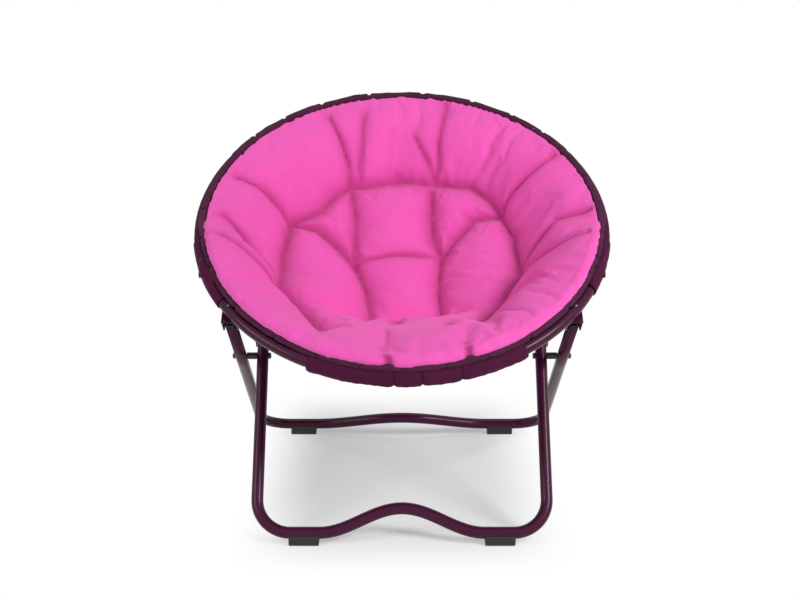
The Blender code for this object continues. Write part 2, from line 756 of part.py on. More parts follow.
CREASES = (
    ("right_top", (-0.147, 0.307)),
    ("left_top", (0.091, 0.340)),
    ("right", (-0.316, 0.128)),
    ("left", (0.300, 0.185)),
    ("right_low", (-0.335, -0.020)),
    ("left_low", (0.345, 0.010)),
    ("right_seat", (-0.030, -0.340)),
    ("left_seat", (0.100, -0.335)),
)


def nearest(place, lines):
    """The point of these sewn lines that lies nearest to a place in the ring's plane."""
    best = Vector((9.0, 9.0))
    for line in lines:
        ends = [Vector(TUFTS.get(end, end)) for end in line]
        for start, end in zip(ends, ends[1:]):
            way = end - start
            share = min(max((place - start).dot(way) / way.length_squared, 0.0), 1.0)
            point = start + way * share
            if (place - point).length < (place - best).length:
                best = point
    return best


def sewn_depth(place):
    """How far the sewing draws the padding down at a place in the ring's plane."""
    deep = CHANNEL_DEEP * math.exp(-(((place.y - HINGE_U) / SEAM_SOFT) ** 2))
    for depth, lines in ((CHANNEL_DEEP, CHANNELS), (CREASE_DEEP, CREASES)):
        off = (place - nearest(place, lines)).length
        deep = max(deep, depth * math.exp(-((off / SEAM_SOFT) ** 2)))
    for tuft in TUFTS.values():
        off = (place - Vector(tuft)).length
        deep += TUFT_DEEP * math.exp(-((off / SEAM_SOFT) ** 2))
    return deep


def seat_swell(place):
    """How much fuller the seat is in front of the fold line, where it stands up as a soft roll."""
    front = (place.y + RING_R - EDGE_FRONT) / SEAT_RISE
    back = (HINGE_U - place.y) / SEAT_FALL
    rise = 1.0
    for ramp in (front, back):
        ramp = min(max(ramp, 0.0), 1.0)
        rise *= math.sin(ramp * math.pi / 2)
    return SEAT_FULL * rise * math.exp(-(((place.x - SEAT_X) / SEAT_SPREAD) ** 2))


def rim_ray(angle):
    """The way from the middle of the dish to the padding's rim, and the rim's height."""
    reach, rise = edge_place(angle)
    reach -= PIPING_R + RIM_GAP
    return Vector((reach * math.sin(angle), -reach * math.cos(angle) - DISH_U)), rise


def dish_height(out, span, rise):
    """Height of the padding's underside, where out is 0 in the middle of the dish and 1 at its rim."""
    inside = (1.0 - out) * span
    for (near, high), (far, low) in zip(RIM_STEPS, RIM_STEPS[1:]):
        if inside < far:
            return rise + high + (low - high) * (inside - near) / (far - near)
    edge, drop = RIM_STEPS[-1]
    share = out / (1.0 - edge / span)
    return rise + drop - (DISH_DEPTH + rise + drop) * (1.0 - share * share)


def under_out(ring, span):
    """How far out a ring of the underside lies, counted from the rim inwards."""
    last = len(RIM_STEPS) - 1
    if ring <= last:
        return 1.0 - RIM_STEPS[ring][0] / span
    return (1.0 - RIM_STEPS[last][0] / span) * (RINGS - ring) / (RINGS - last)


def split(mesh, name, material, solid):
    """Cut a soft form along the fold line and give each half to its side of the ring."""
    for label, body, keep in (("back", "rear_ring", 1), ("front", "front_ring", -1)):
        work = bmesh.new()
        work.from_mesh(mesh)
        bmesh.ops.bisect_plane(
            work,
            geom=work.verts[:] + work.edges[:] + work.faces[:],
            dist=0.000001,
            plane_co=(0, HINGE_U + keep * 0.0005, 0),
            plane_no=(0, -keep, 0),
            clear_outer=True,
        )
        if solid:
            bmesh.ops.holes_fill(work, edges=[e for e in work.edges if e.is_boundary])
            bmesh.ops.triangulate(work, faces=[f for f in work.faces if len(f.verts) > 4])
            bmesh.ops.recalc_face_normals(work, faces=work.faces)
        half = bpy.data.meshes.new(f"{label}_{name}")
        work.to_mesh(half)
        work.free()
        obj = add(half.name, half, material, body, RING_FRAME, smooth=True)
        if not solid:
            cloth = obj.modifiers.new("cloth", "SOLIDIFY")
            cloth.thickness = CLOTH
            cloth.offset = -1.0


work = bmesh.new()
rows = TOP_RINGS + RINGS
bmesh.ops.create_uvsphere(work, u_segments=SEGMENTS, v_segments=rows, radius=1.0)
for vert in work.verts:
    row = round(math.acos(max(-1.0, min(1.0, vert.co.z))) / math.pi * rows)
    angle = math.atan2(vert.co.x, -vert.co.y) if 0 < row < rows else 0.0
    ray, rise = rim_ray(angle)
    span = ray.length
    if row >= TOP_RINGS:
        out = under_out(row - TOP_RINGS, span)
        place = ray * out + Vector((0.0, DISH_U))
        vert.co = (*place, dish_height(out, span, rise))
        continue
    out = 1.0 - (1.0 - row / TOP_RINGS) ** 1.35
    place = ray * out + Vector((0.0, DISH_U))
    full = PAD_FULL * math.sqrt(1.0 - out**6) + seat_swell(place) * (1.0 - out**8)
    deep = sewn_depth(place) * min(1.0, full / PAD_FULL)
    vert.co = (*place, dish_height(out, span, rise) + full - deep)
pad_mesh = bpy.data.meshes.new("padding")
work.to_mesh(pad_mesh)
work.free()
split(pad_mesh, "cushion", PINK, solid=True)

# Sling: one layer of strong cloth under the padding, its hem turned up beside the sleeves to the piping
work = bmesh.new()
rows = []
for turned_up in (True, False):
    hem = []
    for k in range(SEGMENTS):
        angle = math.tau * k / SEGMENTS
        back, front = edge_share(angle), front_share(angle)
        reach = RING_R - HEM_IN + (HEM_IN - HEM_OUT) * max(back, front)
        high = HEM_HIGH - HEM_BACK_DIP * back - HEM_FRONT_DIP * front if turned_up else HEM_LOW
        hem.append(work.verts.new((reach * math.sin(angle), -reach * math.cos(angle), high)))
    rows.append(hem)
for ring in range(len(RIM_STEPS) - 1, RINGS):
    row = []
    for k in range(SEGMENTS):
        ray, rise = rim_ray(math.tau * k / SEGMENTS)
        out = under_out(ring, ray.length)
        height = dish_height(out, ray.length, rise) - CLOTH / 2
        row.append(work.verts.new((ray.x * out, ray.y * out + DISH_U, height)))
    rows.append(row)
middle = work.verts.new((0.0, DISH_U, -DISH_DEPTH - CLOTH / 2))
for outer, inner in zip(rows, rows[1:]):
    for k in range(SEGMENTS):
        work.faces.new((outer[k - 1], outer[k], inner[k], inner[k - 1]))
for k in range(SEGMENTS):
    work.faces.new((rows[-1][k - 1], rows[-1][k], middle))
sling_mesh = bpy.data.meshes.new("sling_cloth")
work.to_mesh(sling_mesh)
work.free()
split(sling_mesh, "sling", PLUM, solid=False)

# Every piece turns about the joint of the body it belongs to
ORIGINS = {
    "rear_ring": in_ring(0, 0, 0),
    "front_ring": HINGE,
    "front_leg": FRONT_TOP,
    "rear_leg": REAR_TOP,
}
for name, body in BODY.items():
    obj = bpy.data.objects[name]
    obj.data.transform(Matrix.Translation(-ORIGINS[body]) @ obj.matrix_world)
    obj.matrix_world = Matrix.Translation(ORIGINS[body])
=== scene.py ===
import math

import bmesh
import bpy
import numpy as np
from mathutils import Matrix, Vector, noise


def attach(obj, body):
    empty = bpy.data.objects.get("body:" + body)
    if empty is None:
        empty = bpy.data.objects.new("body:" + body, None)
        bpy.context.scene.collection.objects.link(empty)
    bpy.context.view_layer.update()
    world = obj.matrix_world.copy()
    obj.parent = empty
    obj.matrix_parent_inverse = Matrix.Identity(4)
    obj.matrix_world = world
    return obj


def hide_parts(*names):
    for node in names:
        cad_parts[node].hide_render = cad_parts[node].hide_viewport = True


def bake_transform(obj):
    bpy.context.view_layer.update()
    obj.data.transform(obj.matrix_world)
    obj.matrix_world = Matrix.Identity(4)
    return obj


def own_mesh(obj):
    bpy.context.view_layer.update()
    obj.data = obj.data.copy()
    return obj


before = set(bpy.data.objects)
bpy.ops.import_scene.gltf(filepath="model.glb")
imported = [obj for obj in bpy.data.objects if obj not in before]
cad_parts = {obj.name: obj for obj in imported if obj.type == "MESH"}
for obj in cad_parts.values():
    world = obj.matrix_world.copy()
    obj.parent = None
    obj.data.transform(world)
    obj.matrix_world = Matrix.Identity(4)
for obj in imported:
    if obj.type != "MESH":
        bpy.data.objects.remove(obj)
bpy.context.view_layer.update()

# The view: a long lens at a standing person's chest height, a little over two and a half metres in front
# of the chair, looking down on it by fifteen degrees.
camera = bpy.data.objects.new("front_view", bpy.data.cameras.new("front_view"))
camera.data.lens = 63.0
camera.data.sensor_width = 36.0
camera.location = (-0.0037, -2.5757, 1.0877)
camera.rotation_euler = (math.radians(90 - 15.117), 0.0, 0.0)
bpy.context.scene.collection.objects.link(camera)
bpy.context.scene.camera = camera


# The ring that carries the seat: two bent lengths of 22 mm steel tube that butt together at a hinge on
# each side. Their finish is a deep plum gloss enamel, baked on, with a faint orange peel.
class Wire:
    """One socket of a finish's nodes: arithmetic on it adds Math nodes, and node() adds any other kind."""

    def __init__(self, tree, socket=None):
        self.tree = tree
        self.socket = socket

    def node(self, kind, settings, sockets, out=0):
        made = self.tree.nodes.new("ShaderNode" + kind)
        for key, value in settings.items():
            setattr(made, key, value)
        for key, value in sockets.items():
            if isinstance(value, Wire):
                self.tree.links.new(value.socket, made.inputs[key])
            else:
                made.inputs[key].default_value = value
        return Wire(self.tree, made.outputs[out])

    def math(self, operation, first, second=0.0):
        return self.node("Math", {"operation": operation}, {0: first, 1: second})

    def __add__(self, other):
        return self.math("ADD", self, other)

    __radd__ = __add__

    def __sub__(self, other):
        return self.math("SUBTRACT", self, other)

    def __rsub__(self, other):
        return self.math("SUBTRACT", other, self)

    def __mul__(self, other):
        return self.math("MULTIPLY", self, other)

    __rmul__ = __mul__

    def place(self):
        """Where a point lies on its piece."""
        return self.node("TexCoord", {}, {}, "Object")

    def axis(self, letter):
        return self.node("SeparateXYZ", {}, {"Vector": self}, letter)

    def painted(self, attribute):
        """A value that the mesh carries at its points."""
        return self.node("Attribute", {"attribute_name": attribute}, {}, "Fac")

    def sine(self):
        return self.math("SINE", self)

    def between(self, low, high):
        """0 below low and 1 above high, with a soft step between."""
        settings = {"interpolation_type": "SMOOTHSTEP"}
        return self.node("MapRange", settings, {"Value": self, "From Min": low, "From Max": high})

    def tint(self, none, full):
        """A colour that goes from one to the other as this value goes from 0 to 1."""
        return self.node("Mix", {"data_type": "RGBA"}, {0: self, 6: none, 7: full}, 2)

    def grain(self, place, scale, detail=2.0):
        return self.node("TexNoise", {}, {"Vector": place, "Scale": scale, "Detail": detail}, "Fac")

    def relief(self, strength, distance):
        return self.node("Bump", {}, {"Height": self, "Strength": strength, "Distance": distance})

    def feed(self, socket):
        self.tree.links.new(self.socket, socket)


def start_finish(name):
    """A new material with its node tree and the sockets of its shader."""
    made = bpy.data.materials.new(name)
    made.use_nodes = True
    return made, Wire(made.node_tree), made.node_tree.nodes["Principled BSDF"].inputs


enamel, wire, shader = start_finish("plum_enamel")
place = wire.place()
height = place.axis("Z")
cloud = wire.grain(place, 14.0, 3.0)
scuffs = wire.grain(place, 210.0, 4.0).between(0.66, 0.74) * (1 - height.between(0.012, 0.030))
tone = cloud.tint((0.050, 0.0058, 0.026, 1.0), (0.066, 0.0088, 0.036, 1.0))
(scuffs * 0.4).tint(tone, (0.13, 0.08, 0.105, 1.0)).feed(shader["Base Color"])
(0.20 + wire.grain(place, 60.0, 3.0) * 0.08 + scuffs * 0.25).feed(shader["Roughness"])
wire.grain(place, 420.0, 1.0).relief(0.05, 0.0003).feed(shader["Normal"])
shader["Specular IOR Level"].default_value = 0.13
shader["Coat Weight"].default_value = 0.03
shader["Coat Roughness"].default_value = 0.08

RING_R = 0.375
RING_TILT = math.radians(31.4)
RING_HEIGHT = 0.540
MIDDLE_Y = 0.0076592
TUBE_R = 0.011
TUBE_SIDES = 28
HINGE_U = -0.110
HINGE_ANGLE = math.acos(-HINGE_U / RING_R)
RING_FRAME = Matrix.Translation((0, -MIDDLE_Y, RING_HEIGHT)) @ Matrix.Rotation(RING_TILT, 4, "X")


def new_piece(name, points, faces, material, place=None):
    """A smooth-shaded mesh, its points given in the chair's frame or in the frame of its place."""
    mesh = bpy.data.meshes.new(name)
    mesh.from_pydata([tuple(p) for p in points], [], faces)
    if place is not None:
        mesh.transform(place)
    mesh.polygons.foreach_set("use_smooth", [True] * len(mesh.polygons))
    mesh.materials.append(material)
    piece = bpy.data.objects.new(name, mesh)
    bpy.context.scene.collection.objects.link(piece)
    return piece


def net(rows, count, first=0, shell=False):
    """The faces between rows of points that each run round once; a shell's last row meets its first."""
    faces = []
    for row in range(rows if shell else rows - 1):
        low, high = first + row * count, first + (row + 1) % rows * count
        for k in range(count):
            n = (k + 1) % count
            faces.append((low + k, low + n, high + n, high + k))
    return faces


def skin(name, loops, material, place=None, shell=False):
    """A surface over a row of loops: closed at its ends, or a shell whose last loop meets its first."""
    count = len(loops[0])
    points = [p for loop in loops for p in loop]
    faces = net(len(loops), count, shell=shell)
    if not shell:
        last = (len(loops) - 1) * count
        faces.append(tuple(range(count - 1, -1, -1)))
        faces.append(tuple(range(last, last + count)))
    return new_piece(name, points, faces, material, place)


def ring_loop(angle, outline):
    """A loop square to the ring: outline gives (outwards, upwards) pairs from the tube's centre."""
    return [((RING_R + out) * math.sin(angle), -(RING_R + out) * math.cos(angle), up) for out, up in outline]


def circle(radius, sides):
    """Points round a tube, turned so that the skin's faces look outwards."""
    turns = [math.tau * k / sides for k in range(sides)]
    return [(radius * math.cos(a), radius * math.sin(a)) for a in turns]


def arc(start, stop, step):
    count = max(2, round(abs(stop - start) / math.radians(step)))
    return [start + (stop - start) * k / count for k in range(count + 1)]


SPLIT = 0.0009 / RING_R
for node, start, stop, body in (
    ("rear_ring_tube", HINGE_ANGLE + SPLIT, math.tau - HINGE_ANGLE - SPLIT, "rear_ring"),
    ("front_ring_tube", -HINGE_ANGLE + SPLIT, HINGE_ANGLE - SPLIT, "front_ring"),
):
    loops = [ring_loop(a, circle(TUBE_R, TUBE_SIDES)) for a in arc(start, stop, 1.5)]
    tube = skin(node + "_bent", loops, enamel, RING_FRAME)
    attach(tube, body)
    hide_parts(node)


# Two U-shaped legs bent from the same tube, each with rounded lower corners and a raised middle between
# its floor pads. They cross at the sides and hang from brackets under the ring.
CORNER_R = 0.062
HUMP = 0.045
PAD_LENGTH = 0.055
TOP_OVERRUN = 0.010
AXIS_HEIGHT = 0.0213
BRACKET_U = 0.26634
CORNER_STEPS = 24
HUMP_STEPS = 32
for node, body, half, foot_x, foot_y, top_u, drop in (
    ("front_leg_tube", "front_leg", 0.264, 0.1775, -0.234, BRACKET_U, 0.033),
    ("rear_leg_tube", "rear_leg", 0.3055, 0.215, 0.336, -0.21747, 0.038),
):
    foot = Vector((0, foot_y - MIDDLE_Y, AXIS_HEIGHT))
    top = RING_FRAME @ Vector((0, top_u, -drop))
    up = (top - foot).normalized()
    across = Vector((1, 0, 0))
    stand = Matrix.Translation(foot) @ Matrix((across, up, across.cross(up))).transposed().to_4x4()
    length = (top - foot).length
    inner = foot_x - PAD_LENGTH / 2
    line = [(-half, length + TOP_OVERRUN), (-half, length * 0.66), (-half, length * 0.33)]
    for k in range(CORNER_STEPS + 1):
        a = math.pi + math.pi / 2 * k / CORNER_STEPS
        line.append((-half + CORNER_R + CORNER_R * math.cos(a), CORNER_R + CORNER_R * math.sin(a)))
    for k in range(HUMP_STEPS + 1):
        x = -inner + inner * k / HUMP_STEPS
        line.append((x, HUMP / 2 * (1 + math.cos(math.pi * x / inner))))
    line += [(-x, y) for x, y in reversed(line[:-1])]
    loops = []
    for k, (x, y) in enumerate(line):
        before, after = line[max(0, k - 1)], line[min(len(line) - 1, k + 1)]
        along = Vector((after[0] - before[0], after[1] - before[1])).normalized()
        loops.append([(x - along.y * r, y + along.x * r, -z) for r, z in circle(TUBE_R, TUBE_SIDES)])
    leg = skin(node + "_bent", loops, enamel, stand)
    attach(leg, body)
    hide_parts(node)


# Brackets pressed from 2 mm sheet, stop tabs and the knuckles of the ring hinges: riveted or welded to the
# tubes before painting, so they carry the same enamel.
def dress(words, material):
    """Put one finish on every CAD piece whose name holds one of these words."""
    for name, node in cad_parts.items():
        if any(word in name for word in words):
            node.data.materials.clear()
            node.data.materials.append(material)


dress(("bracket", "ring_hinge_fork", "ring_hinge_tongue", "stop_tab_left", "stop_tab_right"), enamel)

# Rivets and pivot pins, headed from steel wire and blackened, with the slightly cloudy skin of the oxide.
# They are set through the brackets, tabs and knuckles after painting, so their heads stay bare.
plated, wire, shader = start_finish("blackened_steel")
place = wire.place()
cloud = wire.grain(place, 350.0, 3.0)
cloud.tint((0.060, 0.045, 0.052, 1.0), (0.105, 0.090, 0.098, 1.0)).feed(shader["Base Color"])
(0.28 + cloud * 0.20).feed(shader["Roughness"])
wire.grain(place, 1600.0, 2.0).relief(0.12, 0.0003).feed(shader["Normal"])
shader["Metallic"].default_value = 1.0
dress(("rivet", "pin_"), plated)

# Floor pads, tube plugs, and the bolts, spacers and cap nuts where the legs cross: moulded black plastic with
# a fine spark-eroded grain, scuffed a little greyer at the floor.
moulded, wire, shader = start_finish("black_moulding")
place = wire.place()
height = place.axis("Z")
rub = wire.grain(place, 120.0, 4.0) * (1 - height.between(0.0, 0.006))
rub.tint((0.0095, 0.0092, 0.0100, 1.0), (0.045, 0.043, 0.043, 1.0)).feed(shader["Base Color"])
(0.38 + wire.grain(place, 300.0, 2.0) * 0.20).feed(shader["Roughness"])
wire.grain(place, 1800.0, 1.0).relief(0.20, 0.0004).feed(shader["Normal"])
dress(("_pad_", "plug", "crossing"), moulded)


# The sling: one layer of strong plum cloth that hangs in the ring as a shallow dish and carries the padding.
# It is cut in gores, sewn together, and its hem is sewn into the sleeves round the ring.
def woven(place, warp, weft):
    """A plain weave: 1 where two threads cross, 0 between the threads; warp and weft set how fine it is."""
    across, depth, height = (place.axis(letter) for letter in "XYZ")
    return ((across * warp).sine() * 0.5 + 0.5) * (((depth + height) * weft).sine() * 0.5 + 0.5)


plum_cloth, wire, shader = start_finish("plum_cloth")
place = wire.place()
weave = woven(place, 4200.0, 4200.0)
fade = wire.grain(place, 9.0, 4.0)
dark_seams_and_painted_shade = wire.painted("dark_seams_and_painted_shade")
tone = fade.tint((0.054, 0.0050, 0.028, 1.0), (0.082, 0.0090, 0.044, 1.0))
dark_seams_and_painted_shade.tint(tone, (0.016, 0.0018, 0.0085, 1.0)).feed(shader["Base Color"])
(0.62 + weave * 0.22).feed(shader["Roughness"])
(weave + wire.grain(place, 500.0, 3.0) * 0.6).relief(0.35, 0.0006).feed(shader["Normal"])
shader["Sheen Weight"].default_value = 0.02
shader["Sheen Roughness"].default_value = 0.45
shader["Sheen Tint"].default_value = (0.55, 0.25, 0.42, 1.0)
shader["Specular IOR Level"].default_value = 0.08

EDGE_IN = 0.0080
EDGE_OUT = 0.0068
EDGE_FRONT = 0.0018
EDGE_RISE = 0.0185
BACK_DIP = 0.0070
FRONT_DIP = 0.0022
HINGE_LIFT = 0.0065
LIFT_SPREAD = math.radians(9)
EDGE_SHIFT = math.radians(13)
PIPING_R = 0.0028
PIPING_GAP = 0.0011
TUCK = 0.0055
BACK_TUCK_LOSS = 0.0035
DISH_U = -0.085
DISH_DEPTH = 0.180
HEM_IN = 0.0132
HEM_HIGH = 0.0160
HEM_LOW = -0.0090
HEM_BACK_DIP = 0.0050
HEM_FRONT_DIP = 0.0020
HEM_SHORTER = 0.0070
KNUCKLE_ROOM = 0.0065
KNUCKLE_ANGLE = math.radians(76)
KNUCKLE_SPREAD = math.radians(6.5)
GORE_PUFF = 0.0012
SLING_DROP = 0.0032
SLING_THICK = 0.0010
FOLD_GAP = 0.0008
FOLD_CLEAR = 0.0012
SPOKES = 180
FRONT_PANEL = math.radians(29.5)
PANEL_TURN = math.radians(4.5)
RIM_IN = (0.0, 0.008, 0.020, 0.027)
RIM_DOWN = (0.0, 0.0, -0.0085, -0.0205)


def soft_step(ramp):
    ramp = np.clip(ramp, 0.0, 1.0)
    return ramp * ramp * (3.0 - 2.0 * ramp)


def edge_run(angle):
    """How far outside and above the tube's centre the bound edge lies, and its share of back and front."""
    turn = np.abs((np.asarray(angle) + math.pi) % math.tau - math.pi)
    back = soft_step((turn - HINGE_ANGLE - math.radians(6)) / EDGE_SHIFT)
    off = np.abs((np.asarray(angle) - PANEL_TURN + math.pi) % math.tau - math.pi)
    front = soft_step((FRONT_PANEL + math.radians(11) - off) / EDGE_SHIFT)
    lift = HINGE_LIFT * np.exp(-(((turn - HINGE_ANGLE) / LIFT_SPREAD) ** 2))
    run = EDGE_OUT * back + EDGE_FRONT * front - EDGE_IN
    return run, EDGE_RISE + lift - BACK_DIP * back - FRONT_DIP * front, back, front


def dish(angle, out):
    """x, u and w of the padding's underside; out goes from 0 in its middle to 1 at the bound edge."""
    run, rise, back, _ = edge_run(angle)
    tuck = TUCK - BACK_TUCK_LOSS * back
    reach = RING_R + run - PIPING_R - PIPING_GAP + tuck
    rim_x, rim_u = reach * np.sin(angle), -reach * np.cos(angle)
    span = np.hypot(rim_x, rim_u - DISH_U)
    inside = (1.0 - out) * span
    share = np.minimum(out / (1.0 - RIM_IN[-1] / span), 1.0)
    low = rise + RIM_DOWN[-1]
    bowl = low - (DISH_DEPTH + low) * (1.0 - share * share)
    w = np.where(inside < RIM_IN[-1], rise + np.interp(inside, RIM_IN, RIM_DOWN), bowl)
    return rim_x * out, DISH_U + (rim_u - DISH_U) * out, w


def settle(piece):
    """Give the piece the mesh that its modifiers make, and take the modifiers off."""
    depsgraph = bpy.context.evaluated_depsgraph_get()
    made = bpy.data.meshes.new_from_object(piece.evaluated_get(depsgraph))
    piece.modifiers.clear()
    old = piece.data
    piece.data = made
    bpy.data.meshes.remove(old)


def sling_half(name, keep):
    """One side of the sling, a thin sheet from its turned-up hem to the fold line."""
    angles = np.linspace(0.0, math.tau, SPOKES + 1)[:-1]
    _, _, back, front = edge_run(angles)
    turn = np.abs((angles + math.pi) % math.tau - math.pi)
    reach = RING_R - HEM_IN + 0.0007 * np.maximum(back, front)
    reach = reach - KNUCKLE_ROOM * np.exp(-(((turn - KNUCKLE_ANGLE) / KNUCKLE_SPREAD) ** 2))
    ruffle = np.array([noise.noise(Vector((a * 16.0, 1.7, 4.4))) for a in angles])
    rows = []
    for lift in (1.0, 0.66, 0.33, 0.0):
        low = HEM_LOW + HEM_SHORTER * np.maximum(back, front)
        high = low + lift * (HEM_HIGH - HEM_BACK_DIP * back - HEM_FRONT_DIP * front - low)
        wide = reach + 0.0010 * ruffle * lift * (1.0 - back)
        rows.append(np.stack((wide * np.sin(angles), -wide * np.cos(angles), high), 1))
    for out in np.linspace(0.93, 0.02, 27):
        x, u, w = dish(angles, out)
        gore = GORE_PUFF * np.abs(np.sin(angles * 4.0)) ** 0.5 * math.sin(math.pi * out)
        rows.append(np.stack((x, u, w - gore - SLING_DROP), 1))
    grid = np.array(rows)
    side = grid[:, :, 1]
    grid[:, :, 1] = np.maximum(side, HINGE_U + FOLD_GAP) if keep > 0 else np.minimum(side, HINGE_U - FOLD_GAP)
    points = [(x, u, w - SLING_THICK / 2) for row in grid for x, u, w in row]
    faces = []
    for low, low_next, high_next, high in net(len(grid), SPOKES):
        quad = (low_next, low, high, high_next)
        if keep * (np.mean([points[q][1] for q in quad]) - HINGE_U) > FOLD_CLEAR:
            faces.append(quad)
    sheet = new_piece(name, points, faces, plum_cloth, RING_FRAME)
    thick = sheet.modifiers.new("thick", "SOLIDIFY")
    thick.thickness = SLING_THICK
    settle(sheet)
    return sheet


def cloth_area(piece):
    """The area of one side of a thin piece that has two."""
    return sum(face.area for face in piece.data.polygons) / 2


for name, keep, node, body, span in (
    ("back_sling_cloth", 1, "back_sling", "rear_ring", (0.76, 0.70)),
    ("front_sling_cloth", -1, "front_sling", "front_ring", (0.74, 0.40)),
):
    sheet = sling_half(name, keep)
    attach(sheet, body)
    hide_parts(node)
    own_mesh(sheet)

# Sleeves of the same cloth, sewn round the ring with the tube inside: a loose pocket along the front, and
# close-fitting ones along the sides and the back, cut away at the brackets.
SLEEVE_R = 0.0121
SLEEVE_SIDES = 26
SLEEVE_CLOTH = 0.0008
SLEEVE_CLEAR = 0.0011
TURNED_HEM = 0.0006
SEAM_DEEP = 0.0024
SEAM_WIDE = 0.0026
THREAD_WIDE = 0.0016
SEAM_ALLOWANCE = 0.010
HEM_ALLOWANCE = 0.012


def wrap(angle, reaches):
    """A loop round the tube that lies so far from its centre at each of its even turns."""
    turns = [math.tau * k / SLEEVE_SIDES for k in range(SLEEVE_SIDES)]
    return ring_loop(angle, [(reach * math.cos(a), reach * math.sin(a)) for reach, a in zip(reaches, turns)])


def sleeve(name, start, stop, node, body, slack, seams):
    """A shell of cloth round a length of the tube, with puckers, cross seams and a turned hem at its ends."""
    angles = arc(start, stop, 0.45)
    loops_out, loops_in, dark = [], [], []
    for angle in angles:
        ends = min(angle - start, stop - angle) * RING_R
        hem = TURNED_HEM * math.exp(-((ends - 0.006) / 0.003) ** 2)
        seam = sum(math.exp(-((angle - s) * RING_R / SEAM_WIDE) ** 2) for s in seams)
        thread = sum(math.exp(-((angle - s) * RING_R / THREAD_WIDE) ** 2) for s in seams)
        dark += [0.85 * thread] * SLEEVE_SIDES
        reaches = []
        for k in range(SLEEVE_SIDES):
            a = math.tau * k / SLEEVE_SIDES
            lean = max(0.0, math.cos(a + math.radians(70)))
            pucker = noise.noise(Vector((angle * RING_R * 55, math.cos(a) * 1.3, math.sin(a) * 1.3)))
            crease = noise.noise(Vector((angle * RING_R * 150, math.cos(a) * 0.8 + 7, math.sin(a) * 0.8)))
            loose = 0.0005 + slack * 0.25
            reach = SLEEVE_R + slack * lean * lean + hem + loose * (pucker * 0.9 + crease * 0.5 + 0.2)
            reach -= SEAM_DEEP * seam * (0.3 + lean)
            reaches.append(max(reach, TUBE_R + SLEEVE_CLEAR))
        loops_out.append(wrap(angle, reaches))
        loops_in.append(wrap(angle, [reach - SLEEVE_CLOTH for reach in reaches]))
    cloth = skin(name, loops_out + list(reversed(loops_in)), plum_cloth, RING_FRAME, shell=True)
    cloth.data.attributes.new("dark_seams_and_painted_shade", "FLOAT", "POINT").data.foreach_set("value", dark + dark[::-1])
    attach(cloth, body)
    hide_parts(node)


BRACKET_ANGLE = math.acos(-BRACKET_U / RING_R)
NOTCH = math.radians(6.5)
SIDE_START = HINGE_ANGLE + math.radians(7)
sleeve(
    "front_pocket",
    PANEL_TURN - FRONT_PANEL,
    PANEL_TURN + FRONT_PANEL,
    "front_sleeve",
    "front_ring",
    0.0045,
    (-0.037, 0.091, 0.269),
)
for name, start, stop in (
    ("back_sleeve", BRACKET_ANGLE + NOTCH, math.tau - BRACKET_ANGLE - NOTCH),
    ("side_sleeve_left", SIDE_START, BRACKET_ANGLE - NOTCH),
    ("side_sleeve_right", math.tau - BRACKET_ANGLE + NOTCH, math.tau - SIDE_START),
):
    sleeve(name + "_cloth", start, stop, name, "rear_ring", 0.0, ())

# Hinge covers: a flap of the cover's cloth on each side, stitched to the side sleeves, that hides the hinge.
COVER_LOOSE = 0.0012
COVER_RISE = 0.0073
COVER_STOP = SIDE_START + math.radians(1.0)
for hand, word, start in ((1, "left", math.radians(63.0)), (-1, "right", math.radians(57.5))):
    loops_out, loops_in = [], []
    for angle in arc(hand * start, hand * COVER_STOP, 0.6):
        reaches = []
        for k in range(SLEEVE_SIDES):
            a = math.tau * k / SLEEVE_SIDES
            tall = max(0.0, math.sin(a)) ** 2 * soft_step((abs(angle) - math.radians(62)) / math.radians(4))
            pucker = noise.noise(Vector((angle * RING_R * 60, math.cos(a) * 1.3, math.sin(a) * 1.3 + 3)))
            reaches.append(SLEEVE_R + COVER_LOOSE + COVER_RISE * tall + 0.0007 * pucker)
        loops_out.append(wrap(angle, reaches))
        loops_in.append(wrap(angle, [reach - SLEEVE_CLOTH for reach in reaches]))
    loops = loops_out + list(reversed(loops_in))
    if hand < 0:
        loops = [list(reversed(loop)) for loop in loops]
    flap = skin(f"hinge_cover_{word}", loops, plum_cloth, RING_FRAME, shell=True)
    area = cloth_area(flap)
    length = RING_R * (COVER_STOP - start)
    span = (area / length + SEAM_ALLOWANCE, length + HEM_ALLOWANCE)
    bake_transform(flap)

# The padding: a quilted dish of polyester fill in strong pink cloth, sewn through to the sling along its
# channels and at its tufts, so it stands up in soft pillows between them.
pink_cloth, wire, shader = start_finish("pink_cloth")
place = wire.place()
weave = woven(place, 5200.0, 3700.0)
dark_seams_and_painted_shade = wire.painted("dark_seams_and_painted_shade")
fade = wire.grain(place, 7.0, 4.0)
base = fade.tint((0.85, 0.070, 0.450, 1.0), (0.90, 0.090, 0.500, 1.0))
# Painted shade: the pink darkens to a deep magenta along the channels, folds, tufts and pleats, where shade
# falls in the creases.
painted_crease_shade = dark_seams_and_painted_shade * 0.95
painted_crease_shade.tint(base, (0.47, 0.003, 0.175, 1.0)).feed(shader["Base Color"])
(0.70 + weave * 0.18).feed(shader["Roughness"])
(weave * 0.8 + wire.grain(place, 420.0, 4.0) * 0.8).relief(0.30, 0.0006).feed(shader["Normal"])
shader["Sheen Weight"].default_value = 0.18
shader["Sheen Roughness"].default_value = 0.80
shader["Sheen Tint"].default_value = (1.0, 0.80, 0.92, 1.0)
shader["Specular IOR Level"].default_value = 0.3

